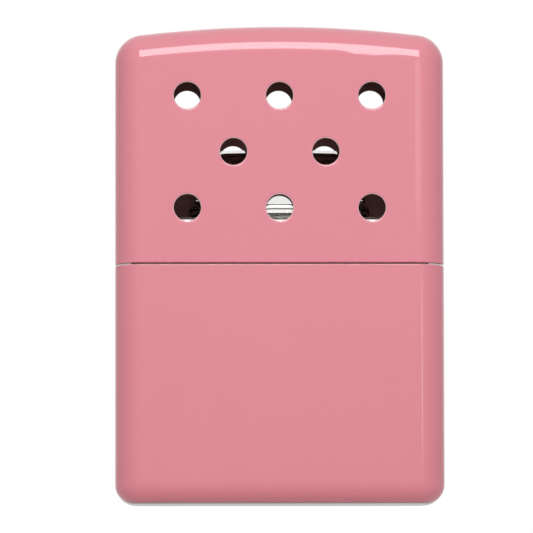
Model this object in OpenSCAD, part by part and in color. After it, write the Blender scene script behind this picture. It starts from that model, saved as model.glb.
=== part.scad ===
// Catalytic hand warmer: a painted case and vent cap around a plated burner.
// Frame: millimetres, +Z up, origin at the middle of the base, front face towards -Y.

/* [Case] */
// Width of the case and of the cap
body_w = 51; // [46:0.5:60]
// Thickness of the case and of the cap, front to back
body_t = 13; // [12:0.25:16]
// Height of the lower case up to its rim
case_h = 36.9; // [30:0.2:50]
// Thickness of the drawn sheet of case and cap
sheet = 0.6; // [0.4:0.05:0.8]
// Radius of the upright edges, and of the edge round the cap's crown
edge_r = 4.5; // [3.5:0.1:5]
// Radius of the edge round the foot
foot_r = 3.1; // [1.5:0.1:3.4]
// Rounding of the outer edge of both rims at the seam
rim_r = 0.2; // [0.1:0.05:0.3]

/* [Vent cap] */
// Height of the cap, from its rim to the middle of its crown
cap_h = 37.15; // [32:0.05:45]
// How much higher the middle of the crown is than its shoulders
crown_rise = 1.26; // [0.8:0.02:2]
// Diameter of the round vents
vent_d = 4.2; // [3:0.1:5]
// Distance between neighbouring vents of one row
vent_pitch = 14.3; // [10:0.1:15]
// Height from one row of vents to the next
vent_rise = 8.72; // [7:0.02:9.5]
// Height of the lowest row above the rim of the case
vent_low = 8.8; // [8:0.1:10]
// Rounding of the outer edge of each vent
vent_lip = 0.3; // [0.1:0.05:0.35]
// Number of vents in each row, from the lowest up
vent_rows = [3, 2, 3];
// Number of the lowest rows that only the front has
front_rows = 1; // [0:1:2]

/* [Tank collar] */
// Height of the collar above the rim of the case
collar_h = 7.4; // [5:0.1:7.6]
// Depth of the collar's skirt inside the case
skirt_depth = 6; // [4:0.5:10]
// Thickness of the collar's sheet
collar_sheet = 0.5; // [0.3:0.05:0.7]
// Radius of the collar's top edge
collar_edge_r = 1; // [0.7:0.1:1.5]
// Thickness of the lip that lies between both rims
lip_t = 0.2; // [0.1:0.05:0.4]
// How far the edge of the lip stays behind the painted faces
lip_back = 0.35; // [0.2:0.05:0.5]
// Distance of the grip dimples from the middle
dimple_x = 15; // [8:0.5:18]
// Radius of the ball that presses a grip dimple
dimple_r = 1.5; // [1:0.1:2]
// How far a grip dimple stands out of the collar
dimple_out = 0.1; // [0.05:0.01:0.12]

/* [Fuel neck] */
// Height of the neck above the collar's top plate
neck_h = 4.2; // [3:0.1:4.6]
// Thickness of the neck's sheet
neck_sheet = 0.5; // [0.3:0.05:0.7]
// How far the neck's foot spreads under the top plate
neck_foot = 1.2; // [0.6:0.1:1.5]
// Width of the solder fillets
solder_r = 0.5; // [0.3:0.05:0.6]

/* [Burner] */
// Width of the burner cover
burner_w = 24.6; // [20:0.2:30]
// How far the burner's front wall stays behind the face of the cap
burner_back = 1.9; // [1.7:0.05:2.2]
// Height of the burner cover above the flange
cover_h = 8.45; // [7.5:0.05:10]
// Thickness of the sheet of cover and sleeve
burner_sheet = 0.4; // [0.3:0.02:0.45]
// Radius of the cover's edges and shoulders
cover_edge_r = 4.2; // [2.5:0.1:4.3]
// How much higher the middle of the cover's top is than its shoulders
cover_rise = 0.1; // [0.05:0.01:0.3]
// Height of the flange
flange_h = 1.35; // [0.9:0.05:1.4]
// Gap under the flange, above the collar's top plate
flange_lift = 0.65; // [0.6:0.05:1]
// How far the flange reaches beyond the ends of the cover
flange_end = 1.7; // [1:0.1:2.5]
// How far the flange reaches beyond the front and back of the cover
flange_side = 0.6; // [0.4:0.05:0.7]
// Rounding of the flange's upper edge
flange_r = 0.4; // [0.2:0.05:0.45]
// Number of slots in the front and in the back of the cover
slot_count = 7; // [3:1:7]
// Width of a slot
slot_w = 1.4; // [0.8:0.1:1.6]
// Height of a slot
slot_h = 3.4; // [2.5:0.1:3.6]
// Distance between neighbouring slots
slot_pitch = 2.3; // [2:0.1:2.5]
// Height of the slots' lower ends above the flange
slot_low = 2.3; // [2.3:0.05:3]
// Width of the strip that stands along the cover's crest
crest_t = 2.4; // [1.8:0.1:3]
// Distance from each end of the cover to the crest strip
crest_end = 1.8; // [1.5:0.1:3]
// Height of the crest strip above the cover
crest_h = 0.4; // [0.2:0.05:0.6]
// Diameter of the outlets along the crest
outlet_d = 1.4; // [0.8:0.1:1.8]
// Diameter of the heads of the end rivets
rivet_head_d = 1.3; // [1.2:0.05:1.8]
// How far the heads of the end rivets stand out
rivet_head_h = 1.05; // [0.5:0.05:1.3]
// Diameter of the rivets' shanks
rivet_d = 0.8; // [0.6:0.05:1]
// Height of the rivets above the flange
rivet_rise = 1.1; // [1:0.05:2.2]
// Thickness of the wire gauze
gauze_t = 0.25; // [0.15:0.05:0.3]
// Thickness of the ledge ring that sits on the neck
frame_t = 0.5; // [0.3:0.05:0.6]
// Width of the ledge ring
frame_ledge = 1.1; // [0.8:0.1:1.5]

/* [Filling] */
// Number of cotton wads in the tank
wad_count = 5; // [2:1:5]
// Gap around the cotton wads
wad_gap = 0.25; // [0.15:0.05:0.4]
// Rounding of the edges of the cotton wads
wad_r = 1.6; // [0.8:0.1:2]
// How far the felt stays below the rim of the neck
felt_low = 0.5; // [0.3:0.1:1]

/* [Clearances] */
// Running clearance between cap and collar
cap_clear = 0.15; // [0.13:0.01:0.25]
// Running clearance between burner sleeve and neck
neck_clear = 0.15; // [0.1:0.01:0.2]
// Gap between surfaces that rest on each other
seat_gap = 0.05; // [0.02:0.01:0.08]
// Gap around pieces that are pressed into one another
fit_gap = 0.05; // [0.02:0.01:0.08]

/* [Hidden] */
// Steps of a full circle, and of the much larger circles of the two crowns
round_fn = 96;
crown_fn = 360;
$fn = round_fn;
paint = "#de8792";
plating = "#d9dade";
solder_grey = "#9fa1a3";
cotton_white = "#f1efe8";
felt_grey = "#cfcac0";
gauze_grey = "#8f9092";
pad_grey = "#b8b4ae";
// Overshoot of the cutting shapes
cut = 1;
// A length below which a shape counts as empty
tiny = 0.001;
// How far pieces of one body reach into each other
lap = 0.05;

// Heights above the base
cap_z = case_h + lip_t + seat_gap;
cap_top = cap_z + cap_h;
plate_top = case_h + collar_h;
plate_low = plate_top - collar_sheet;
neck_top = plate_top + neck_h;
foot_z = plate_low - neck_sheet;
flange_z = plate_top + flange_lift;
flange_top = flange_z + flange_h;
cover_z = flange_top + seat_gap;
burner_top = cover_z + cover_h;
rivet_z = flange_top + rivet_rise;
frame_z = neck_top + seat_gap;
gauze_z = frame_z + frame_t;
sleeve_top = gauze_z + gauze_t;
pad_z = sleeve_top + seat_gap;
skirt_z = case_h - skirt_depth;
vent_z = [for (row = [0 : len(vent_rows) - 1]) case_h + vent_low + row * vent_rise];

// Insets from the painted faces
collar_in = sheet + cap_clear;
skirt_in = sheet + fit_gap;
hollow_in = max(collar_in, skirt_in) + collar_sheet;

// The burner's parts, from the outside in
burner_t = body_t - 2 * burner_back;
flange_w = burner_w + 2 * flange_end;
flange_t = burner_t + 2 * flange_side;
sleeve_in = burner_sheet + fit_gap;
bore_in = sleeve_in + burner_sheet;
neck_in = bore_in + neck_clear;
neck_bore_in = neck_in + neck_sheet;
hood_in = burner_sheet + fit_gap;
pad_in = hood_in + gauze_t + fit_gap;
slot_span = (slot_count - 1) * slot_pitch;
hood_w = slot_span + 2 * slot_w;

// Quarter of a disc, in the corner between +X and +Y
module quarter_disc(r) {
    intersection() {
        circle(r);
        square(r);
    }
}

// Rectangle from the origin, left out where it has no area
module patch(x, y) {
    if (min(x, y) > tiny)
        square([x, y]);
}

// Section of a wall from 0 to reach, h high, its outer edge rounded below and above
module edge_section(reach, h, low, high) {
    inner = reach - max(low, high);
    patch(inner, h);
    translate([inner, low])
        patch(reach - inner, h - low - high);
    if (low > 0) {
        translate([inner, 0])
            patch(reach - inner - low, low);
        translate([reach - low, low])
            mirror([0, 1])
                quarter_disc(low);
    }
    if (high > 0) {
        translate([inner, h - high])
            patch(reach - inner - high, high);
        translate([reach - high, h - high])
            quarter_disc(high);
    }
}

// Upright block with rounded upright edges, and rounded edges below and above
module rimmed_block(w, t, h, r, low = 0, high = 0) {
    flat_x = w / 2 - r;
    flat_y = t / 2 - r;
    for (turn = [0, 180])
        rotate([0, 0, turn]) {
            translate([-flat_x, 0, 0])
                rotate([90, 0, 90])
                    linear_extrude(2 * flat_x)
                        edge_section(t / 2, h, low, high);
            translate([flat_x, flat_y, 0])
                rotate([90, 0, 0])
                    linear_extrude(2 * flat_y)
                        edge_section(r, h, low, high);
            translate([flat_x, flat_y, 0])
                rotate_extrude(angle = 90)
                    edge_section(r, h, low, high);
            translate([flat_x, -flat_y, 0])
                rotate([0, 0, -90])
                    rotate_extrude(angle = 90)
                        edge_section(r, h, low, high);
        }
}

// Prism along Y, from y_low to y_high, over an outline of X and Z points
module side_prism(points, y_low, y_high) {
    translate([0, y_high, 0])
        rotate([90, 0, 0])
            linear_extrude(y_high - y_low)
                polygon(points);
}

// Upright block with a crowned top, and one radius along all its edges and at its shoulders.
// The long arc of the crown runs into both shoulders, and its middle lies higher by rise.
module domed_block(w, t, z_low, z_top, r, rise, rim = 0) {
    side_x = w / 2 - r;
    side_y = t / 2 - r;
    side_z = z_top - r - rise;
    // How far the centre of the long arc lies below those of the shoulders
    drop = (pow(side_x, 2) / rise - rise) / 2;
    // The planes between crown and shoulders run on from the shoulders by this share
    beyond = 0.1;
    far_x = (1 + beyond) * side_x;
    far_z = side_z + beyond * drop;
    shoulder = [[side_x, side_z], [side_x + 2 * r, side_z], [side_x + 2 * r, far_z], [far_x, far_z]];
    // The corner balls are turned so that their poles lie off every face they run into
    ball_turn = [0, -35, 135];

    translate([0, 0, z_low])
        rimmed_block(w, t, side_z - z_low, r, rim);
    // A thin plate within, across the plane where they meet, makes walls and crown one body
    translate([0, 0, side_z - lap])
        rimmed_block(w - 2 * lap, t - 2 * lap, 2 * lap, r - lap);
    for (side = [0, 1])
        mirror([side, 0, 0]) {
            intersection() {
                translate([side_x, side_y, side_z])
                    rotate([90, 0, 0])
                        cylinder(h = 2 * side_y, r = r);
                side_prism(shoulder, -side_y, side_y);
            }
            for (back = [0, 1])
                mirror([0, back, 0])
                    intersection() {
                        translate([side_x, -side_y, side_z])
                            rotate(ball_turn)
                                sphere(r);
                        side_prism(shoulder, -side_y - 2 * r, -side_y);
                    }
        }
    intersection() {
        translate([0, t / 2, side_z - drop])
            rotate([90, 0, 0])
                rotate_extrude($fn = crown_fn)
                    translate([drop - cut, 0])
                        edge_section(rise + r + cut, t, r, r, $fn = round_fn);
        side_prism([[-side_x, side_z], [side_x, side_z], [far_x, far_z], [-far_x, far_z]], -t, t);
    }
}

// The outer form of case and collar, drawn in by inset, from z upwards
module body_block(inset, z, h, low = 0, high = 0) {
    translate([0, 0, z])
        rimmed_block(body_w - 2 * inset, body_t - 2 * inset, h, edge_r - inset, low, high);
}

// The outer form of the cap, drawn in by inset
module cap_form(inset, z_low, rim = 0) {
    domed_block(body_w - 2 * inset, body_t - 2 * inset, z_low, cap_top - inset, edge_r - inset,
        crown_rise, rim);
}

// The outer form of the burner cover, drawn in by inset
module burner_form(inset, z_low) {
    domed_block(burner_w - 2 * inset, burner_t - 2 * inset, z_low, burner_top - inset,
        cover_edge_r - inset, cover_rise);
}

// Upright block on the burner's plan, drawn in by inset
module burner_block(inset, z, h) {
    translate([0, 0, z])
        rimmed_block(burner_w - 2 * inset, burner_t - 2 * inset, h, cover_edge_r - inset);
}

// Bore from the middle out through the front, and where both is true through the back too,
// its mouths flared by lip
module flared_bore(d, length, lip, both) {
    rotate([90, 0, 0])
        for (side = both ? [0, 1] : [0])
            mirror([0, 0, side]) {
                cylinder(h = length / 2 + cut, d = d);
                translate([0, 0, length / 2 - lip])
                    rotate_extrude()
                        difference() {
                            square([d / 2 + lip, lip]);
                            translate([d / 2 + lip, 0])
                                circle(lip);
                        }
            }
}

// Bore along X through both ends of the burner, for the end rivets
module rivet_bores() {
    for (side = [0, 1])
        mirror([side, 0, 0])
            translate([burner_w / 2 - bore_in - cut, 0, rivet_z])
                rotate([0, 90, 0])
                    cylinder(h = bore_in + 2 * cut, d = rivet_d + 2 * fit_gap);
}

// Painted lower half of the body: the drawn tank shell
module lower_case() {
    color(paint)
        difference() {
            body_block(0, 0, case_h, foot_r, rim_r);
            body_block(sheet, sheet, case_h, foot_r - sheet);
        }
}

// Plated collar: skirt in the case, lip on its rim, and the plug that the cap slips over
module tank_collar() {
    color(plating)
        difference() {
            union() {
                body_block(skirt_in, skirt_z, skirt_depth + lip_t);
                body_block(lip_back, case_h, lip_t);
                body_block(collar_in, case_h, collar_h, 0, collar_edge_r);
                for (x = [-dimple_x, dimple_x], side = [0, 180])
                    rotate([0, 0, side])
                        translate([x, body_t / 2 - collar_in + dimple_out - dimple_r, case_h + collar_h / 2])
                            sphere(dimple_r);
            }
            body_block(hollow_in, skirt_z - cut, skirt_depth + cut + collar_h - collar_sheet, 0,
                collar_edge_r - collar_sheet);
            burner_block(neck_in - fit_gap, plate_low - cut, collar_sheet + 2 * cut);
        }
}

// Solder that seals the foot of the collar's skirt to the case
module collar_solder() {
    color(solder_grey)
        difference() {
            body_block(sheet + fit_gap, skirt_z - solder_r, solder_r);
            body_block(hollow_in, skirt_z - solder_r - cut, solder_r + 2 * cut);
        }
}

// Oblong filling neck, its foot spread under the collar's top plate
module fuel_neck() {
    color(plating)
        difference() {
            union() {
                burner_block(neck_in, foot_z, neck_top - foot_z);
                burner_block(neck_in - neck_foot, foot_z, neck_sheet);
            }
            burner_block(neck_bore_in, foot_z - cut, neck_top - foot_z + 2 * cut);
        }
}

// Solder fillet round the neck, on the collar's top plate
module neck_solder() {
    color(solder_grey)
        difference() {
            translate([0, 0, plate_top])
                rimmed_block(burner_w - 2 * (neck_in - solder_r - fit_gap),
                    burner_t - 2 * (neck_in - solder_r - fit_gap), solder_r,
                    cover_edge_r - neck_in + solder_r + fit_gap, 0, solder_r - fit_gap);
            burner_block(neck_in - fit_gap, plate_top - cut, solder_r + 2 * cut);
        }
}

// One cotton wad, number i from the bottom
module cotton_wad(i) {
    low = sheet + wad_gap;
    pitch = (foot_z - low) / wad_count;
    inset = hollow_in + wad_gap;
    color(cotton_white)
        body_block(inset, low + (i - 1) * pitch, pitch - wad_gap, wad_r, wad_r);
}

// Felt plug that fills the neck above the cotton
module wick_felt() {
    color(felt_grey)
        burner_block(neck_bore_in + fit_gap, foot_z, neck_top - foot_z - felt_low);
}

// Burner base: the flange with its turned-down edge, and the sleeve that slips over the neck
module burner_base() {
    color(plating)
        difference() {
            union() {
                translate([0, 0, flange_z])
                    rimmed_block(flange_w, flange_t, flange_h, cover_edge_r + flange_side, 0, flange_r);
                burner_block(sleeve_in, flange_top - burner_sheet, sleeve_top - flange_top + burner_sheet);
            }
            translate([0, 0, flange_z - cut])
                rimmed_block(flange_w - 2 * burner_sheet, flange_t - 2 * burner_sheet,
                    flange_h - burner_sheet + cut, cover_edge_r + flange_side - burner_sheet);
            burner_block(bore_in, flange_z - cut, sleeve_top - flange_z + 2 * cut);
            rivet_bores();
        }
}

// Strip that stands along the burner's crest and over both shoulders
module crest_strip() {
    intersection() {
        burner_form(-crest_h, cover_z);
        translate([crest_end - burner_w / 2, -crest_t / 2, burner_top - cover_edge_r])
            cube([burner_w - 2 * crest_end, crest_t, cover_edge_r + 2 * crest_h]);
    }
}

// Burner cover: the plated cap with slots in front and back and outlets along its crest
module burner_cover() {
    color(plating)
        difference() {
            union() {
                burner_form(0, cover_z);
                crest_strip();
            }
            burner_form(burner_sheet, cover_z - cut);
            for (i = [0 : slot_count - 1])
                translate([i * slot_pitch - slot_span / 2, 0, 0]) {
                    translate([0, 0, flange_top + slot_low + slot_w / 2])
                        rotate([90, 0, 0])
                            linear_extrude(burner_t + 2 * cut, center = true) {
                                circle(d = slot_w);
                                translate([0, slot_h - slot_w])
                                    circle(d = slot_w);
                                translate([-slot_w / 2, 0])
                                    square([slot_w, slot_h - slot_w]);
                            }
                    translate([0, 0, burner_top - burner_sheet - cut])
                        cylinder(h = burner_sheet + crest_h + 2 * cut, d = outlet_d);
                }
            rivet_bores();
        }
}

// Ledge ring inside the sleeve, which rests on the rim of the neck
module pad_frame() {
    color(plating)
        difference() {
            burner_block(bore_in + fit_gap, frame_z, frame_t);
            burner_block(bore_in + fit_gap + frame_ledge, frame_z - cut, frame_t + 2 * cut);
        }
}

// Wire gauze on the ledge ring, under the catalyst
module gauze_floor() {
    color(gauze_grey)
        burner_block(bore_in + fit_gap, gauze_z, gauze_t);
}

// Wire gauze folded over the catalyst, behind the slots
module gauze_hood() {
    color(gauze_grey)
        intersection() {
            difference() {
                burner_form(hood_in, pad_z);
                burner_form(hood_in + gauze_t, pad_z - cut);
            }
            translate([-hood_w / 2, -body_t / 2, 0])
                cube([hood_w, body_t, cap_top]);
        }
}

// Glass-fibre pad that carries the catalyst
module catalyst_pad() {
    color(pad_grey)
        burner_form(pad_in, pad_z);
}

// Domed end rivet that ties cover and sleeve together, on the +X side
module end_rivet() {
    ball_r = (pow(rivet_head_d / 2, 2) + pow(rivet_head_h, 2)) / (2 * rivet_head_h);
    color(plating)
        translate([burner_w / 2 - bore_in, 0, rivet_z])
            rotate([0, 90, 0]) {
                cylinder(h = bore_in, d = rivet_d);
                translate([0, 0, bore_in])
                    intersection() {
                        translate([0, 0, rivet_head_h - ball_r])
                            sphere(ball_r);
                        cylinder(h = rivet_head_h + cut, d = rivet_head_d);
                    }
            }
}

// End rivet on the -X side
module rivet_left() {
    mirror([1, 0, 0])
        end_rivet();
}

// End rivet on the +X side
module rivet_right() {
    end_rivet();
}

// Painted vent cap: the drawn lid with its vents through front and back
module vent_cap() {
    color(paint)
        difference() {
            cap_form(0, cap_z, rim_r);
            cap_form(sheet, cap_z - cut);
            for (row = [0 : len(vent_rows) - 1], i = [0 : vent_rows[row] - 1])
                translate([(i - (vent_rows[row] - 1) / 2) * vent_pitch, 0, vent_z[row]])
                    flared_bore(vent_d, body_t, vent_lip, row >= front_rows);
        }
}

lower_case();
tank_collar();
collar_solder();
fuel_neck();
neck_solder();
for (i = [1 : wad_count])
    cotton_wad(i);
wick_felt();
burner_base();
burner_cover();
pad_frame();
gauze_floor();
gauze_hood();
catalyst_pad();
rivet_left();
rivet_right();
vent_cap();
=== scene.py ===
import math
import random

import bmesh
import bpy
from mathutils import Matrix, Vector, noise
from mathutils.bvhtree import BVHTree


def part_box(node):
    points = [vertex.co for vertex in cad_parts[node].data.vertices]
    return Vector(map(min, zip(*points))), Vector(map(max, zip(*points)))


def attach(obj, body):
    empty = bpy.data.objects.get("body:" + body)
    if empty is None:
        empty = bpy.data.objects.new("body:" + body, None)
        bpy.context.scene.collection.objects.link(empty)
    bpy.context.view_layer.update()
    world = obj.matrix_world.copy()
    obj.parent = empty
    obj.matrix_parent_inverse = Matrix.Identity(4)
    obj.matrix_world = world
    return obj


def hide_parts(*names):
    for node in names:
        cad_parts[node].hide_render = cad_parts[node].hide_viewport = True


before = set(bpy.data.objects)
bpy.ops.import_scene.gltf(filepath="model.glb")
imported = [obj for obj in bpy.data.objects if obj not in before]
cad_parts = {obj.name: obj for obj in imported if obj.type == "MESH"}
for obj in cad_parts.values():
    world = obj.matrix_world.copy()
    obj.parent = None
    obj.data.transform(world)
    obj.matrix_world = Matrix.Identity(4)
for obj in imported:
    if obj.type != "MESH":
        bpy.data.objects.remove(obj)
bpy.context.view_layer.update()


# ---------------------------------------------------------------------------------------------
# Camera: it stands more than a metre in front of the warmer, lower than its foot, and looks up
# at it through a long lens, so that the vents of the back show through those of the front.
MM = 0.001
CAMERA_DISTANCE = 1090.0
CAMERA_AZIMUTH = math.radians(-0.75)
CAMERA_ELEVATION = math.radians(-5.1)
CAMERA_ROLL = math.radians(-0.1)
PICTURE_WIDTH = 82.35
PICTURE_MIDDLE = Vector((-2.08, -6.5, 36.5))
SENSOR_WIDTH = 36
FARTHEST_METRES = 100


def add_object(name, data):
    """An object in the scene that holds a mesh, a lamp or a camera."""
    made = bpy.data.objects.new(name, data)
    bpy.context.scene.collection.objects.link(made)
    return made


camera_data = bpy.data.cameras.new("camera")
camera_data.sensor_width = SENSOR_WIDTH
camera_data.lens = SENSOR_WIDTH * CAMERA_DISTANCE / PICTURE_WIDTH
camera_data.clip_end = FARTHEST_METRES
camera = add_object("camera", camera_data)
camera_back = Vector((
    math.sin(CAMERA_AZIMUTH) * math.cos(CAMERA_ELEVATION),
    -math.cos(CAMERA_AZIMUTH) * math.cos(CAMERA_ELEVATION),
    math.sin(CAMERA_ELEVATION),
))
turn = (-camera_back).to_track_quat("-Z", "Y").to_matrix().to_4x4()
place = Matrix.Translation((PICTURE_MIDDLE + camera_back * CAMERA_DISTANCE) * MM)
camera.matrix_world = place @ turn @ Matrix.Rotation(CAMERA_ROLL, 4, "Z")
bpy.context.scene.camera = camera
bpy.context.scene.view_settings.view_transform = "Standard"


# ---------------------------------------------------------------------------------------------
# Lower case: a deep-drawn can of thin sheet, sprayed with pink enamel outside and left bare
# inside. It is the tank of the warmer, and its rim carries the collar. The enamel is painted
# paler on its rounded rim and on the lips of the cap's vents, as thin enamel and as a painted
# highlight, but not on the rim of the cap.
EDGE_RADIUS = 4.5
FOOT_RADIUS = 3.1
PINK = (0.645, 0.216, 0.262, 1)
PINK_DEEP = (0.630, 0.205, 0.251, 1)
# Pale pink of thin enamel on rims and vent lips, also a painted highlight there.
THIN_PINK_HIGHLIGHT = (0.860, 0.560, 0.580, 1)
BARE_STEEL = (0.440, 0.215, 0.190, 1)
BARE_STEEL_DEEP = (0.300, 0.145, 0.125, 1)
BARE_METALLIC = 0.6
PAINT_DEPTH = 0.32
THIN_FROM = 0.02
THIN_TO = 0.14
RIM_BAND = 0.5


def node_box(node):
    """A node's lowest and highest corner, in millimetres."""
    low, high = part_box(node)
    return low / MM, high / MM


def new_group(name, inputs, outputs):
    """An empty shader group with its sockets: (name, kind, value) each."""
    group = bpy.data.node_groups.new(name, "ShaderNodeTree")
    for title, kind, value in inputs:
        socket = group.interface.new_socket(title, in_out="INPUT", socket_type="NodeSocket" + kind)
        socket.default_value = value
    for title, kind in outputs:
        group.interface.new_socket(title, in_out="OUTPUT", socket_type="NodeSocket" + kind)
    return group, group.nodes.new("NodeGroupInput"), group.nodes.new("NodeGroupOutput")


def add_node(tree, kind, values=None, **settings):
    """A node with its settings and the values of its sockets."""
    node = tree.nodes.new("ShaderNode" + kind)
    for key, value in settings.items():
        setattr(node, key, value)
    for key, value in (values or {}).items():
        node.inputs[key].default_value = value
    return node


def add_math(tree, operation, first, second=None):
    """A math node over sockets or numbers; its output."""
    node = add_node(tree, "Math", operation=operation)
    for socket, value in zip(node.inputs, (first, second)):
        if isinstance(value, (int, float)):
            socket.default_value = value
        elif value is not None:
            tree.links.new(value, socket)
    return node.outputs["Value"]


def new_material(name):
    """An empty node material, its tree and its output node."""
    material = bpy.data.materials.new(name)
    material.use_nodes = True
    tree = material.node_tree
    tree.nodes.clear()
    return material, tree, add_node(tree, "OutputMaterial")


def surface_skin_group():
    """Slow clouds between two tones, and the fine ripple or grain of a finish."""
    group, source, result = new_group(
        "surface_skin",
        [("Tone", "Color", (1, 1, 1, 1)), ("Deep Tone", "Color", (1, 1, 1, 1)),
         ("Cloud Scale", "Float", 60.0), ("Ripple Scale", "Float", 900.0),
         ("Smooth", "Float", 0.1), ("Rough", "Float", 0.2)],
        [("Color", "Color"), ("Roughness", "Float"), ("Height", "Float")],
    )
    link = group.links.new
    where = add_node(group, "TexCoord")
    cloud = add_node(group, "TexNoise", {"Detail": 3.0})
    link(where.outputs["Object"], cloud.inputs["Vector"])
    link(source.outputs["Cloud Scale"], cloud.inputs["Scale"])
    link(mixed(group, cloud.outputs["Fac"], source.outputs["Tone"], source.outputs["Deep Tone"],
               "RGBA"), result.inputs["Color"])
    ripple = add_node(group, "TexNoise", {"Detail": 2.0, "Roughness": 0.4})
    link(where.outputs["Object"], ripple.inputs["Vector"])
    link(source.outputs["Ripple Scale"], ripple.inputs["Scale"])
    link(ripple.outputs["Fac"], result.inputs["Height"])
    gloss = add_node(group, "MapRange")
    link(cloud.outputs["Fac"], gloss.inputs["Value"])
    link(source.outputs["Smooth"], gloss.inputs["To Min"])
    link(source.outputs["Rough"], gloss.inputs["To Max"])
    link(gloss.outputs["Result"], result.inputs["Roughness"])
    return group


def outside_mask_group():
    """Mask is 1 outside an upright can and 0 inside it; the second output is 1 where the enamel is
    thin and painted paler, which also paints a highlight on rims and vent lips.
    """
    group, source, result = new_group(
        "outside_mask",
        [("Half Width", "Float", 0.0255), ("Half Thickness", "Float", 0.0065),
         ("Edge Radius", "Float", 0.0045), ("Depth", "Float", 0.0003),
         ("Middle", "Float", 0.0), ("Straight", "Float", 0.01)],
        [("Mask", "Float"), ("Thin Highlight", "Float")],
    )
    link = group.links.new
    where = add_node(group, "TexCoord")
    spot = add_node(group, "SeparateXYZ")
    link(where.outputs["Object"], spot.inputs["Vector"])
    facing = add_node(group, "SeparateXYZ")
    link(where.outputs["Normal"], facing.inputs["Vector"])
    reach = []
    for axis, half in (("X", "Half Width"), ("Y", "Half Thickness")):
        side = add_math(group, "ABSOLUTE", spot.outputs[axis])
        core = add_math(group, "SUBTRACT", source.outputs[half], source.outputs["Edge Radius"])
        reach.append(add_math(group, "MAXIMUM", add_math(group, "SUBTRACT", side, core), 0.0))
    squares = [add_math(group, "MULTIPLY", part, part) for part in reach]
    distance = add_math(group, "SQRT", add_math(group, "ADD", *squares))
    inner = add_math(group, "SUBTRACT", source.outputs["Edge Radius"], source.outputs["Depth"])
    wall = add_math(group, "GREATER_THAN", distance, inner)
    height = add_math(group, "SUBTRACT", spot.outputs["Z"], source.outputs["Middle"])
    outward = 0.0
    for axis, along, half in (("X", spot.outputs["X"], "Half Width"),
                              ("Y", spot.outputs["Y"], "Half Thickness"),
                              ("Z", height, "Straight")):
        share = add_math(group, "DIVIDE", along, source.outputs[half])
        share = add_math(group, "DIVIDE", share, source.outputs[half])
        share = add_math(group, "MULTIPLY", share, facing.outputs[axis])
        outward = add_math(group, "ADD", share, outward)
    rounded = add_math(group, "GREATER_THAN", add_math(group, "ABSOLUTE", height),
                       source.outputs["Straight"])
    away = add_math(group, "GREATER_THAN", outward, 0.0)
    mask = add_math(group, "MAXIMUM", wall, add_math(group, "MULTIPLY", rounded, away))
    link(mask, result.inputs["Mask"])
    # Pale band just inside the rounded edges: thin enamel and a painted highlight on rims and vent
    # lips.
    drawn_in = add_math(group, "SUBTRACT", source.outputs["Edge Radius"], distance)
    lip = add_node(group, "MapRange", {"From Min": THIN_FROM * MM, "From Max": THIN_TO * MM})
    link(drawn_in, lip.inputs["Value"])
    straight = add_math(group, "SUBTRACT", 1.0, rounded)
    thin_highlight = add_math(group, "MULTIPLY", lip.outputs["Result"], straight)
    half_rim = RIM_BAND / 2 * MM
    off_rim = add_math(group, "ABSOLUTE", add_math(group, "SUBTRACT", height, half_rim))
    link(add_math(group, "MULTIPLY", thin_highlight, add_math(group, "GREATER_THAN", off_rim, half_rim)),
         result.inputs["Thin Highlight"])
    return group


def mixed(tree, factor, first, second, kind="FLOAT"):
    """The output of a mix between two sockets, or between a socket and a colour."""
    mix = add_node(tree, "Mix", data_type=kind)
    start, result = (6, 2) if kind == "RGBA" else (2, 0)
    tree.links.new(factor, mix.inputs["Factor"])
    tree.links.new(first, mix.inputs[start])
    if isinstance(second, tuple):
        mix.inputs[start + 1].default_value = second
    else:
        tree.links.new(second, mix.inputs[start + 1])
    return mix.outputs[result]


def enamelled_sheet(name, mask_values):
    """Sheet with enamel outside and bare metal inside; the mask's values are in millimetres."""
    material, tree, out = new_material(name)
    shader = add_node(tree, "BsdfPrincipled", {"IOR": 1.55})
    mask = add_node(tree, "Group", {key: value * MM for key, value in mask_values.items()},
                    node_tree=OUTSIDE_MASK)
    enamel = add_node(tree, "Group", {
        "Tone": PINK, "Deep Tone": PINK_DEEP, "Cloud Scale": 45.0, "Ripple Scale": 500.0,
        "Smooth": 0.06, "Rough": 0.10}, node_tree=SURFACE_SKIN)
    bare = add_node(tree, "Group", {
        "Tone": BARE_STEEL, "Deep Tone": BARE_STEEL_DEEP, "Cloud Scale": 220.0,
        "Ripple Scale": 1500.0, "Smooth": 0.42, "Rough": 0.60}, node_tree=SURFACE_SKIN)
    outside = mask.outputs["Mask"]
    link = tree.links.new
    # Paler pink on rims and vent lips: thin enamel and a painted highlight.
    paint = mixed(tree, mask.outputs["Thin Highlight"], enamel.outputs["Color"], THIN_PINK_HIGHLIGHT, "RGBA")
    link(mixed(tree, outside, bare.outputs["Color"], paint, "RGBA"),
         shader.inputs["Base Color"])
    link(mixed(tree, outside, bare.outputs["Roughness"], enamel.outputs["Roughness"]),
         shader.inputs["Roughness"])
    inside = add_math(tree, "SUBTRACT", 1.0, outside)
    metal = add_math(tree, "MULTIPLY", inside, BARE_METALLIC)
    link(metal, shader.inputs["Metallic"])
    bump = add_node(tree, "Bump", {"Strength": 0.05, "Distance": 0.04 * MM})
    link(mixed(tree, outside, bare.outputs["Height"], enamel.outputs["Height"]),
         bump.inputs["Height"])
    link(bump.outputs["Normal"], shader.inputs["Normal"])
    link(shader.outputs["BSDF"], out.inputs["Surface"])
    return material


def dress(node, material):
    """Gives a CAD node its material."""
    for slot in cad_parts[node].material_slots:
        slot.material = material


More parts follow.
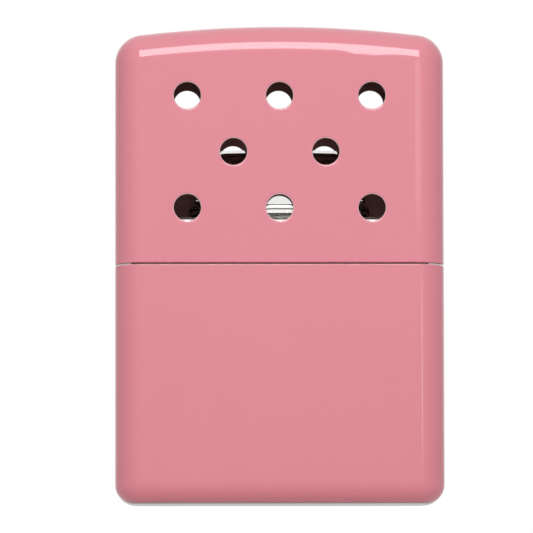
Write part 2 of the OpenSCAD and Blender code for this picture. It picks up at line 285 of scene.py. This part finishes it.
SURFACE_SKIN = surface_skin_group()
OUTSIDE_MASK = outside_mask_group()
case_low, case_high = node_box("lower_case")
half_width = (case_high.x - case_low.x) / 2
half_thickness = (case_high.y - case_low.y) / 2
case_top = case_high.z
dress("lower_case", enamelled_sheet(
    "enamelled_case",
    {"Half Width": half_width, "Half Thickness": half_thickness, "Edge Radius": EDGE_RADIUS,
     "Depth": PAINT_DEPTH, "Middle": case_top, "Straight": case_top - FOOT_RADIUS},
))


# ---------------------------------------------------------------------------------------------
# Tank collar: a pressed step of bright plated sheet, pushed into the mouth of the case and
# soldered. The cap slips over it and snaps onto its dimples. Its lip shows in the seam; a dark
# band of painted shade runs along its middle, and it stays bright at both ends.
PLATE_TONE = (0.86, 0.85, 0.83, 1)
PLATE_DEEP = (0.78, 0.77, 0.75, 1)
LIP_RISE = 0.1
LIP_HALF = 0.25
LIP_REACH = 23.0
# Dark red-brown painted shade for the seam gap, laid on the collar's lip.
LIP_SHADE_TONE = (0.18, 0.075, 0.080, 1)
BAND_SWAY = 0.12
SCRATCH_TURNS = (0.5, -0.9)
SCRATCH_STRETCH = (12.0, 1.0, 1.0)
SCRATCH_FROM = 0.66


def scuff_group():
    """Mask of fine hairline scratches in two directions."""
    group, source, result = new_group(
        "scuffs", [("Scale", "Float", 300.0), ("Amount", "Float", 0.3)],
        [("Mask", "Float")],
    )
    link = group.links.new
    where = add_node(group, "TexCoord")
    lines = []
    for angle in SCRATCH_TURNS:
        stretch = add_node(group, "Mapping")
        stretch.inputs["Rotation"].default_value = (angle, angle * 0.6, angle)
        stretch.inputs["Scale"].default_value = SCRATCH_STRETCH
        link(where.outputs["Object"], stretch.inputs["Vector"])
        streak = add_node(group, "TexNoise", {"Detail": 1.0})
        link(stretch.outputs["Vector"], streak.inputs["Vector"])
        link(source.outputs["Scale"], streak.inputs["Scale"])
        lines.append(add_math(group, "GREATER_THAN", streak.outputs["Fac"], SCRATCH_FROM))
    both = add_math(group, "MAXIMUM", *lines)
    link(add_math(group, "MULTIPLY", both, source.outputs["Amount"]), result.inputs["Mask"])
    return group


SCUFFS = scuff_group()


def metal_finish(name, tone, deep_tone, smooth, rough, scuffed=0.25, ripple=600.0, relief=0.05):
    """Bare or plated metal with clouds of gloss, ripple and hairline scratches."""
    material, tree, out = new_material(name)
    shader = add_node(tree, "BsdfPrincipled", {"Metallic": 1.0})
    skin = add_node(tree, "Group", {
        "Tone": tone, "Deep Tone": deep_tone, "Cloud Scale": 180.0, "Ripple Scale": ripple,
        "Smooth": smooth, "Rough": rough}, node_tree=SURFACE_SKIN)
    scuffs = add_node(tree, "Group", {"Amount": scuffed}, node_tree=SCUFFS)
    link = tree.links.new
    link(skin.outputs["Color"], shader.inputs["Base Color"])
    link(add_math(tree, "ADD", skin.outputs["Roughness"], scuffs.outputs["Mask"]),
         shader.inputs["Roughness"])
    bump = add_node(tree, "Bump", {"Strength": relief, "Distance": 0.05 * MM})
    link(skin.outputs["Height"], bump.inputs["Height"])
    link(bump.outputs["Normal"], shader.inputs["Normal"])
    link(shader.outputs["BSDF"], out.inputs["Surface"])
    return material


def painted_shade_bands(material, heights, half, tone, reach):
    """Painted shade: dark, slightly wavy lines round a metal at some heights, as far as reach from
    the middle.
    """
    tree = material.node_tree
    link = tree.links.new
    shader = next(n for n in tree.nodes if n.type == "BSDF_PRINCIPLED")
    where = add_node(tree, "TexCoord")
    spot = add_node(tree, "SeparateXYZ")
    link(where.outputs["Object"], spot.inputs["Vector"])
    waver = add_node(tree, "TexNoise", {"Scale": 700.0, "Detail": 1.0})
    link(where.outputs["Object"], waver.inputs["Vector"])
    sway = add_math(tree, "MULTIPLY", waver.outputs["Fac"], BAND_SWAY * MM)
    level = add_math(tree, "ADD", spot.outputs["Z"], sway)
    mask = 0.0
    for height in heights:
        apart = add_math(tree, "SUBTRACT", level, (height + BAND_SWAY / 2) * MM)
        line = add_math(tree, "LESS_THAN", add_math(tree, "ABSOLUTE", apart), half * MM)
        mask = add_math(tree, "MAXIMUM", line, mask)
    aside = add_math(tree, "ABSOLUTE", spot.outputs["X"])
    mask = add_math(tree, "MULTIPLY", mask, add_math(tree, "LESS_THAN", aside, reach * MM))
    plain = shader.inputs["Base Color"].links[0].from_socket
    link(mixed(tree, mask, plain, tone, "RGBA"), shader.inputs["Base Color"])


def bright_finish(name):
    """Bright plating, almost a mirror."""
    return metal_finish(name, PLATE_TONE, PLATE_DEEP, 0.02, 0.05, scuffed=0.12, relief=0.02)


bright_plate = bright_finish("bright_plate")
shaded_collar_plate = bright_finish("shaded_collar_plate")
# A dark band of painted shade along the lip in the seam, short of both ends.
painted_shade_bands(shaded_collar_plate, [case_top + LIP_RISE], LIP_HALF, LIP_SHADE_TONE, LIP_REACH)
dress("tank_collar", shaded_collar_plate)


# ---------------------------------------------------------------------------------------------
# Collar solder: soft tin solder run round the joint between collar and case, which makes the
# tank tight.
SOLDER_TONE = (0.55, 0.55, 0.54, 1)
SOLDER_DEEP = (0.40, 0.40, 0.39, 1)
soft_solder = metal_finish("soft_solder", SOLDER_TONE, SOLDER_DEEP, 0.28, 0.48,
                           scuffed=0.1, ripple=1400.0, relief=0.5)
dress("collar_solder", soft_solder)


# ---------------------------------------------------------------------------------------------
# Fuel neck and its solder: an oblong neck of plated sheet that stands in the collar. The fuel
# is poured in through it, and the burner slips over it.
dress("fuel_neck", bright_plate)
dress("neck_solder", soft_solder)


# ---------------------------------------------------------------------------------------------
# Cotton wads: five tufts of raw cotton pushed into the tank one by one, which hold the fuel.
# Each is crumpled and folded, and its stray fibres lie against the walls.
COTTON_TONE = (0.86, 0.84, 0.78, 1)
COTTON_DEEP = (0.72, 0.69, 0.61, 1)
WAD_COUNT = 5
FINE_FOLD = 0.3
FINE_DENT = 0.35
BROAD_FACE_EASE = 0.5
FIBRE_BEND = 2.0
FIBRE_TURNS = ((0.3, 0.4), (1.2, -0.8), (-0.5, 1.9))
FIBRE_STRETCH = (9.0, 9.0, 1.0)
STRAY_SIDES = 3
STRAY_POINTS = 9
STRAY_LIFT = 0.02
STRAY_BEND = 0.45


def fibre_mesh(name, paths, radius, sides, material):
    """Thin round strands along paths of points in millimetres."""
    points, faces = [], []
    for path in paths:
        first = len(points)
        side = Vector((0.0, 0.0, 1.0))
        for i, spot in enumerate(path):
            ahead = path[min(i + 1, len(path) - 1)] - path[max(i - 1, 0)]
            if ahead.length < 1e-9:
                ahead = Vector((1.0, 0.0, 0.0))
            ahead.normalize()
            across = side - ahead * side.dot(ahead)
            if across.length < 1e-3:
                across = ahead.orthogonal()
            side = across.normalized()
            other = ahead.cross(side)
            for k in range(sides):
                a = 2 * math.pi * k / sides
                points.append((spot + (side * math.cos(a) + other * math.sin(a)) * radius) * MM)
        for i in range(len(path) - 1):
            for k in range(sides):
                a = first + i * sides + k
                b = first + i * sides + (k + 1) % sides
                faces.append((a, b, b + sides, a + sides))
        faces.append(tuple(first + k for k in reversed(range(sides))))
        last = first + (len(path) - 1) * sides
        faces.append(tuple(last + k for k in range(sides)))
    mesh = bpy.data.meshes.new(name)
    mesh.from_pydata(points, [], faces)
    mesh.polygons.foreach_set("use_smooth", [True] * len(faces))
    mesh.materials.append(material)
    return add_object(name, mesh)


def fibre_finish(name, tone, deep_tone, scale, relief, rough):
    """Loose or felted fibres: long streaks in two tones, with deep relief and a soft sheen."""
    material, tree, out = new_material(name)
    shader = add_node(tree, "BsdfPrincipled",
                      {"Sheen Weight": 0.3, "Specular IOR Level": 0.2, "Roughness": rough})
    fibres = add_node(tree, "Group", {"Tone": tone, "Deep Tone": deep_tone, "Scale": scale},
                      node_tree=FIBRES)
    bump = add_node(tree, "Bump", {"Strength": relief, "Distance": 0.1 * MM})
    link = tree.links.new
    link(fibres.outputs["Color"], shader.inputs["Base Color"])
    link(fibres.outputs["Height"], bump.inputs["Height"])
    link(bump.outputs["Normal"], shader.inputs["Normal"])
    link(shader.outputs["BSDF"], out.inputs["Surface"])
    return material


def fibres_group():
    """Streaks that run every way, as matted fibres do."""
    group, source, result = new_group(
        "fibres",
        [("Tone", "Color", (1, 1, 1, 1)), ("Deep Tone", "Color", (1, 1, 1, 1)),
         ("Scale", "Float", 300.0)],
        [("Color", "Color"), ("Height", "Float")],
    )
    link = group.links.new
    where = add_node(group, "TexCoord")
    bend = add_node(group, "TexNoise", {"Scale": 260.0, "Detail": 2.0})
    link(where.outputs["Object"], bend.inputs["Vector"])
    shift = add_node(group, "VectorMath", operation="MULTIPLY_ADD")
    shift.inputs[1].default_value = (FIBRE_BEND * MM,) * 3
    link(bend.outputs["Color"], shift.inputs[0])
    link(where.outputs["Object"], shift.inputs[2])
    heights = []
    for turn_x, turn_z in FIBRE_TURNS:
        stretch = add_node(group, "Mapping")
        stretch.inputs["Rotation"].default_value = (turn_x, 0.2, turn_z)
        stretch.inputs["Scale"].default_value = FIBRE_STRETCH
        link(shift.outputs["Vector"], stretch.inputs["Vector"])
        streak = add_node(group, "TexNoise", {"Detail": 3.0})
        link(stretch.outputs["Vector"], streak.inputs["Vector"])
        link(source.outputs["Scale"], streak.inputs["Scale"])
        heights.append(streak.outputs["Fac"])
    height = add_math(group, "MAXIMUM", heights[0], add_math(group, "MAXIMUM", *heights[1:]))
    link(height, result.inputs["Height"])
    spread = add_node(group, "MapRange", {"From Min": 0.48, "From Max": 0.68})
    link(height, spread.inputs["Value"])
    link(mixed(group, spread.outputs["Result"], source.outputs["Deep Tone"],
               source.outputs["Tone"], "RGBA"), result.inputs["Color"])
    return group


def crumpled_block(name, low, high, squareness, cells, dent, fold, seed, material):
    """A soft closed lump that fills a box, dented inwards only."""
    middle, half = (low + high) / 2, (high - low) / 2
    shape = bmesh.new()
    bmesh.ops.create_cube(shape, size=2)
    bmesh.ops.subdivide_edges(shape, edges=shape.edges[:], cuts=cells - 1, use_grid_fill=True)
    for vert in shape.verts:
        p = vert.co
        length = sum(abs(c) ** squareness for c in p) ** (1 / squareness)
        spot = Vector([c / length * h for c, h in zip(p, half)])
        away = Vector([c / h for c, h in zip(spot, half)]).normalized()
        wave = noise.noise((spot + Vector((seed * 7.1, 3.0, 0.0))) / fold)
        fine = noise.noise((spot + Vector((seed * 3.3, 9.0, 5.0))) / (fold * FINE_FOLD))
        push = dent * (0.5 + 0.5 * wave) + dent * FINE_DENT * (0.5 + 0.5 * fine)
        push *= 1 - BROAD_FACE_EASE * abs(away.y)
        vert.co = (middle + spot - away * push) * MM
    mesh = bpy.data.meshes.new(name)
    shape.to_mesh(mesh)
    shape.free()
    mesh.polygons.foreach_set("use_smooth", [True] * len(mesh.polygons))
    mesh.materials.append(material)
    return add_object(name, mesh)


def skin_of(mesh):
    """A tree of a mesh's faces, in millimetres."""
    return BVHTree.FromPolygons([v.co / MM for v in mesh.vertices],
                                [list(p.vertices) for p in mesh.polygons])


def surface_fibres(name, base, count, length, thickness, material, seed):
    """Curved single fibres lying on the surface of a soft piece."""
    pick = random.Random(seed)
    mesh = base.data
    skin = skin_of(mesh)
    paths = []
    for _ in range(count):
        face = mesh.polygons[pick.randrange(len(mesh.polygons))]
        spot = face.center / MM
        ahead = Vector((pick.uniform(-1, 1), pick.uniform(-1, 1), pick.uniform(-1, 1)))
        path = []
        for _ in range(STRAY_POINTS):
            near, normal, _, _ = skin.find_nearest(spot)
            path.append(near - normal * (thickness - STRAY_LIFT))
            ahead -= normal * ahead.dot(normal)
            ahead = ahead.normalized() + Vector(
                [pick.uniform(-STRAY_BEND, STRAY_BEND) for _ in range(3)])
            spot = near + ahead.normalized() * length / (STRAY_POINTS - 1)
        paths.append(path)
    return fibre_mesh(name, paths, thickness, STRAY_SIDES, material)


FIBRES = fibres_group()
raw_cotton = fibre_finish("raw_cotton", COTTON_TONE, COTTON_DEEP, scale=260.0, relief=0.8,
                          rough=0.9)
for i in range(WAD_COUNT):
    node = f"cotton_wad_{i + 1}"
    wad_low, wad_high = node_box(node)
    wad = crumpled_block(f"cotton_tuft_{i + 1}", wad_low, wad_high, squareness=5.0, cells=26,
                         dent=0.55, fold=3.2, seed=i + 1, material=raw_cotton)
    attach(wad, "case")
    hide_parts(node)
    strays = surface_fibres(f"cotton_strays_{i + 1}", wad, count=160, length=7.0,
                            thickness=0.03, material=raw_cotton, seed=11 + i)
    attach(strays, "case")


# ---------------------------------------------------------------------------------------------
# Wick felt: a plug of white wool felt in the neck. It lies on the cotton and keeps loose
# strands off the burner.
FELT_TONE = (0.80, 0.79, 0.74, 1)
FELT_DEEP = (0.60, 0.58, 0.53, 1)
wool_felt = fibre_finish("wool_felt", FELT_TONE, FELT_DEEP, scale=420.0, relief=0.7, rough=0.95)
felt_low, felt_high = node_box("wick_felt")
felt = crumpled_block("felt_plug", felt_low, felt_high, squareness=14.0, cells=30, dent=0.12,
                      fold=1.6, seed=31, material=wool_felt)
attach(felt, "case")
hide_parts("wick_felt")
felt_strays = surface_fibres("felt_strays", felt, count=260, length=2.6, thickness=0.018,
                             material=wool_felt, seed=41)
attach(felt_strays, "case")


# ---------------------------------------------------------------------------------------------
# Burner base and pad frame: a pressed sleeve with a flange, plated bright, that slips over the
# neck, and a ledge ring inside it that carries the gauze. Two dark lines painted round the
# flange stand for the shade in its folds.
FOLD_DROPS = (0.14, 0.78)
FOLD_HALF = 0.09
# Near-black painted shade for the folds of the flange.
FOLD_SHADE_TONE = (0.05, 0.045, 0.045, 1)
HEAT_TONE = (0.62, 0.55, 0.44, 1)
HEAT_DEEP = (0.42, 0.34, 0.29, 1)

cover_foot = node_box("burner_cover")[0].z
satin_plate = metal_finish("satin_plate", PLATE_TONE, PLATE_DEEP, 0.20, 0.30, scuffed=0.1)
# Near-black painted shade at the two folds of the flange.
painted_shade_bands(satin_plate, [cover_foot - drop for drop in FOLD_DROPS], FOLD_HALF, FOLD_SHADE_TONE,
           half_width)
dress("burner_base", satin_plate)
heat_tinted = metal_finish("heat_tinted", HEAT_TONE, HEAT_DEEP, 0.18, 0.34)
dress("pad_frame", heat_tinted)


# ---------------------------------------------------------------------------------------------
# Gauze floor and gauze hood: woven stainless wire under and over the catalyst. The floor lies
# on the frame, and the hood is folded over the pad.
WIRE_PITCH = 0.5
WIRE_RADIUS = 0.062
WIRE_CRIMP = 0.06
WIRE_STEP = 0.125
WIRE_SIDES = 6
WIRE_TONE = (0.50, 0.47, 0.43, 1)
WIRE_DEEP = (0.34, 0.30, 0.26, 1)
FLOOR_CORNER = 3.6
HOOD_THICKNESS = 0.25
HOOD_ARC = (0.5, 179.5)
RAY_COUNT = 90
RAY_START = 30.0
FEWEST_SPOTS = 8
STEEPEST = 0.8
gauze_wire = metal_finish("gauze_wire", WIRE_TONE, WIRE_DEEP, 0.25, 0.42, scuffed=0.05)


def even_steps(path, step):
    """The same path with points at even distances."""
    made, left = [path[0]], step
    for a, b in zip(path, path[1:]):
        gap = (b - a).length
        while gap >= left:
            a = a + (b - a) * (left / gap)
            made.append(a)
            gap -= left
            left = step
        left -= gap
    return made


def middle_path(skin, thickness, centre, axis, start, stop):
    """Where a plane cuts a thin shell: the middle of its wall, between two angles."""
    path = []
    others = [i for i in range(3) if i != axis]
    for k in range(RAY_COUNT + 1):
        a = math.radians(start + (stop - start) * k / RAY_COUNT)
        out = Vector((0.0, 0.0, 0.0))
        out[others[0]] = math.cos(a)
        out[others[1]] = math.sin(a)
        hit, normal, _, _ = skin.ray_cast(centre + out * RAY_START, -out)
        if hit is not None:
            path.append(hit - normal * (thickness / 2))
    return path


def woven_hood(node, thickness):
    """Wires in planes across each axis, crimped over and under each other."""
    low, high = node_box(node)
    skin = skin_of(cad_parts[node].data)
    middle = (low + high) / 2
    paths = []
    for axis in range(3):
        reach = (high[axis] - low[axis]) / 2
        rows = int(reach / WIRE_PITCH)
        for row in range(-rows, rows + 1):
            at = middle[axis] + row * WIRE_PITCH
            if axis == 2:
                at = low.z + WIRE_PITCH / 2 + (row + rows) * WIRE_PITCH
            if not low[axis] + WIRE_RADIUS < at < high[axis] - WIRE_RADIUS:
                continue
            centre = middle.copy()
            centre[axis] = at
            if axis != 2:
                centre.z = low.z
            start, stop = (0, 360) if axis == 2 else HOOD_ARC
            raw = middle_path(skin, thickness, centre, axis, start, stop)
            if len(raw) < FEWEST_SPOTS:
                continue
            path = []
            for spot in even_steps(raw, WIRE_STEP):
                _, normal, _, _ = skin.find_nearest(spot)
                if normal.dot(spot - middle) < 0:
                    normal = -normal
                other = max((i for i in range(3) if i != axis and abs(normal[i]) < STEEPEST),
                            key=lambda i: 1 - abs(normal[i]), default=0)
                crimp = WIRE_CRIMP * math.cos(math.pi * (spot[other] - middle[other]) / WIRE_PITCH)
                crimp *= (-1) ** row * (1 if axis == 0 else -1)
                path.append(spot + normal * crimp)
            paths.append(path)
    return paths


def woven_sheet(low, high, radius):
    """Wires of a level gauze with rounded corners, crimped over and under each other."""
    middle, half = (low + high) / 2, (high - low) / 2
    paths = []
    for axis in (0, 1):
        other = 1 - axis
        rows = int((half[axis] - WIRE_RADIUS) / WIRE_PITCH)
        for row in range(-rows, rows + 1):
            at = row * WIRE_PITCH
            beyond = max(0.0, abs(at) - (half[axis] - radius))
            reach = half[other] - radius + math.sqrt(max(0.0, radius ** 2 - beyond ** 2))
            steps = int(2 * reach / WIRE_STEP)
            path = []
            for k in range(steps + 1):
                along = -reach + 2 * reach * k / steps
                spot = middle.copy()
                spot[axis] += at
                spot[other] += along
                crimp = WIRE_CRIMP * math.cos(math.pi * along / WIRE_PITCH) * (-1) ** row
                spot.z += crimp * (1 if axis == 0 else -1)
                path.append(spot)
            paths.append(path)
    return paths


gauze_low, gauze_high = node_box("gauze_floor")
floor_gauze = fibre_mesh("woven_floor", woven_sheet(gauze_low, gauze_high, FLOOR_CORNER),
                         WIRE_RADIUS, WIRE_SIDES, gauze_wire)
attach(floor_gauze, "burner")
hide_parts("gauze_floor")
hood_gauze = fibre_mesh("woven_hood", woven_hood("gauze_hood", HOOD_THICKNESS), WIRE_RADIUS,
                        WIRE_SIDES, gauze_wire)
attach(hood_gauze, "burner")
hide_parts("gauze_hood")


# ---------------------------------------------------------------------------------------------
# Catalyst pad: a pad of matted glass fibre that carries the catalyst, grey from it, and packed
# under the hood.
PAD_TONE = (0.46, 0.45, 0.43, 1)
PAD_DEEP = (0.20, 0.19, 0.18, 1)
PAD_VOXEL = 0.2
PAD_SINK = 0.03
PAD_LUMP = 0.16
PAD_LUMP_LENGTH = 1.1
PAD_GRAIN = 0.08
PAD_GRAIN_LENGTH = 0.35

catalyst_fibre = fibre_finish("catalyst_fibre", PAD_TONE, PAD_DEEP, scale=500.0, relief=0.8,
                              rough=0.8)
pad_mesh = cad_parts["catalyst_pad"].data.copy()
pad_mesh.materials.clear()
pad_mesh.materials.append(catalyst_fibre)
pad = add_object("glass_fibre_pad", pad_mesh)
pad_remesh = pad.modifiers.new("even", "REMESH")
pad_remesh.mode = "VOXEL"
pad_remesh.voxel_size = PAD_VOXEL * MM
bpy.context.view_layer.update()
pad_even = bpy.data.meshes.new_from_object(
    pad.evaluated_get(bpy.context.evaluated_depsgraph_get()))
pad.modifiers.clear()
pad.data = pad_even
for vert in pad_even.vertices:
    spot = vert.co / MM
    lump = noise.noise(spot / PAD_LUMP_LENGTH) * 0.5 + 0.5
    grain = noise.noise(spot / PAD_GRAIN_LENGTH) * 0.5 + 0.5
    vert.co = (spot - vert.normal * (PAD_SINK + PAD_LUMP * lump + PAD_GRAIN * grain)) * MM
pad_even.polygons.foreach_set("use_smooth", [True] * len(pad_even.polygons))
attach(pad, "burner")
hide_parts("catalyst_pad")
pad_strays = surface_fibres("pad_strays", pad, count=700, length=3.0, thickness=0.016,
                            material=catalyst_fibre, seed=51)
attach(pad_strays, "burner")


# ---------------------------------------------------------------------------------------------
# Burner cover: a pressed hood of plated sheet over the catalyst, with tall slots in its walls
# and outlets along its crest.
dress("burner_cover", bright_plate)


# ---------------------------------------------------------------------------------------------
# Rivets: two small plated rivets, one at each end, that hold cover and base together.
RIVET_TONE = (0.96, 0.95, 0.94, 1)
rivet_plate = metal_finish("rivet_plate", RIVET_TONE, PLATE_TONE, 0.12, 0.18, scuffed=0.05)
for side in ("left", "right"):
    dress(f"rivet_{side}", rivet_plate)


# ---------------------------------------------------------------------------------------------
# Vent cap: the deep-drawn lid, sprayed like the case, with eight round vents pierced in its
# front and five in its back. It slips over the collar and rests on the case.
SHOULDER_Z = 67.5
cap_rim = node_box("vent_cap")[0].z
dress("vent_cap", enamelled_sheet(
    "enamelled_cap",
    {"Half Width": half_width, "Half Thickness": half_thickness, "Edge Radius": EDGE_RADIUS,
     "Depth": PAINT_DEPTH, "Middle": cap_rim, "Straight": SHOULDER_Z - cap_rim},
))


# ---------------------------------------------------------------------------------------------
# Floor: a plain pale table top. It is opaque from above and clear from below, because the
# camera looks up from under its level, and it stays pale in reflections.
FLOOR_HALF = 900.0
FLOOR_DROP = 0.1
FLOOR_TONE = (0.93, 0.93, 0.93, 1)
FLOOR_DEEP = (0.86, 0.86, 0.86, 1)
GLOSSY_LEVEL = 0.8


def pale_floor():
    """A pale diffuse table, bright to glossy rays and clear from its underside."""
    material, tree, out = new_material("pale_table")
    table = add_node(tree, "BsdfDiffuse")
    where = add_node(tree, "TexCoord")
    grain = add_node(tree, "TexNoise", {"Scale": 40.0, "Detail": 4.0})
    tone = add_node(tree, "ValToRGB")
    tone.color_ramp.elements[0].color = FLOOR_DEEP
    tone.color_ramp.elements[1].color = FLOOR_TONE
    bright = add_node(tree, "Emission", {"Strength": GLOSSY_LEVEL})
    clear = add_node(tree, "BsdfTransparent")
    facing = add_node(tree, "NewGeometry")
    path = add_node(tree, "LightPath")
    lit = add_node(tree, "MixShader")
    mix = add_node(tree, "MixShader")
    link = tree.links.new
    link(where.outputs["Object"], grain.inputs["Vector"])
    link(grain.outputs["Fac"], tone.inputs["Fac"])
    link(tone.outputs["Color"], table.inputs["Color"])
    link(facing.outputs["Backfacing"], mix.inputs["Fac"])
    link(tone.outputs["Color"], bright.inputs["Color"])
    link(path.outputs["Is Glossy Ray"], lit.inputs["Fac"])
    link(table.outputs["BSDF"], lit.inputs[1])
    link(bright.outputs["Emission"], lit.inputs[2])
    link(lit.outputs["Shader"], mix.inputs[1])
    link(clear.outputs["BSDF"], mix.inputs[2])
    link(mix.outputs["Shader"], out.inputs["Surface"])
    return material


floor_mesh = bpy.data.meshes.new("table_top")
floor_mesh.from_pydata(
    [(x * FLOOR_HALF * MM, y * FLOOR_HALF * MM, -FLOOR_DROP * MM)
     for x, y in ((-1, -1), (1, -1), (1, 1), (-1, 1))], [], [(0, 1, 2, 3)])
floor_mesh.materials.append(pale_floor())
floor = add_object("table_top", floor_mesh)


# ---------------------------------------------------------------------------------------------
# Light: a white surround that is darker at the sides, a wide soft box in front and above that
# draws the pale line along the top edge, and two weak ones at the right, one aimed at the cap
# and one at the case.
SURROUND_TONE = (1, 0.985, 0.97, 1)
SURROUND_LEVEL = 0.57
SIDE_LEVEL = 0.55
SIDE_FROM = 0.35
SIDE_TO = 0.95
TOP_BOX_POWER = 1.75
LID_BOX_POWER = 0.03
CASE_BOX_POWER = 0.010


def white_surround():
    """Plain white to the camera, white with darker sides in gloss, and softer as light."""
    world = bpy.data.worlds.new("surround")
    world.use_nodes = True
    tree = world.node_tree
    tree.nodes.clear()
    link = tree.links.new
    out = add_node(tree, "OutputWorld")
    toward = add_node(tree, "TexCoord")
    heading = add_node(tree, "SeparateXYZ")
    link(toward.outputs["Generated"], heading.inputs["Vector"])
    aside = add_node(tree, "MapRange", {"From Min": SIDE_FROM, "From Max": SIDE_TO, "To Min": 1.0,
                                        "To Max": SIDE_LEVEL}, interpolation_type="SMOOTHSTEP")
    link(add_math(tree, "ABSOLUTE", heading.outputs["X"]), aside.inputs["Value"])
    plain = add_node(tree, "Background", {"Color": (1, 1, 1, 1), "Strength": 1.0})
    mirrored = add_node(tree, "Background", {"Color": (1, 1, 1, 1)})
    link(aside.outputs["Result"], mirrored.inputs["Strength"])
    soft = add_node(tree, "Background", {"Color": SURROUND_TONE})
    link(add_math(tree, "MULTIPLY", aside.outputs["Result"], SURROUND_LEVEL),
         soft.inputs["Strength"])
    path = add_node(tree, "LightPath")
    shiny = add_math(tree, "MAXIMUM", path.outputs["Is Glossy Ray"],
                     path.outputs["Is Transmission Ray"])
    unseen = add_node(tree, "MixShader")
    link(shiny, unseen.inputs["Fac"])
    link(soft.outputs["Background"], unseen.inputs[1])
    link(mirrored.outputs["Background"], unseen.inputs[2])
    seen = add_node(tree, "MixShader")
    link(path.outputs["Is Camera Ray"], seen.inputs["Fac"])
    link(unseen.outputs["Shader"], seen.inputs[1])
    link(plain.outputs["Background"], seen.inputs[2])
    link(seen.outputs["Shader"], out.inputs["Surface"])
    return world


def soft_box(name, place, aim, width, height, power):
    """A rectangular soft lamp that faces a point."""
    lamp_data = bpy.data.lights.new(name, "AREA")
    lamp_data.shape = "RECTANGLE"
    lamp_data.size = width * MM
    lamp_data.size_y = height * MM
    lamp_data.energy = power
    lamp = add_object(name, lamp_data)
    turn = (Vector(aim) - Vector(place)).to_track_quat("-Z", "Y").to_matrix().to_4x4()
    lamp.matrix_world = Matrix.Translation(Vector(place) * MM) @ turn


bpy.context.scene.world = white_surround()
soft_box("top_box", place=(0, -405, 365), aim=(0, 0, 71), width=340, height=250,
         power=TOP_BOX_POWER)
soft_box("lid_box", place=(130, -440, 118), aim=(20, 0, 55), width=150, height=60,
         power=LID_BOX_POWER)
soft_box("case_box", place=(216, -406, 54), aim=(20, 0, 15), width=22, height=36,
         power=CASE_BOX_POWER)
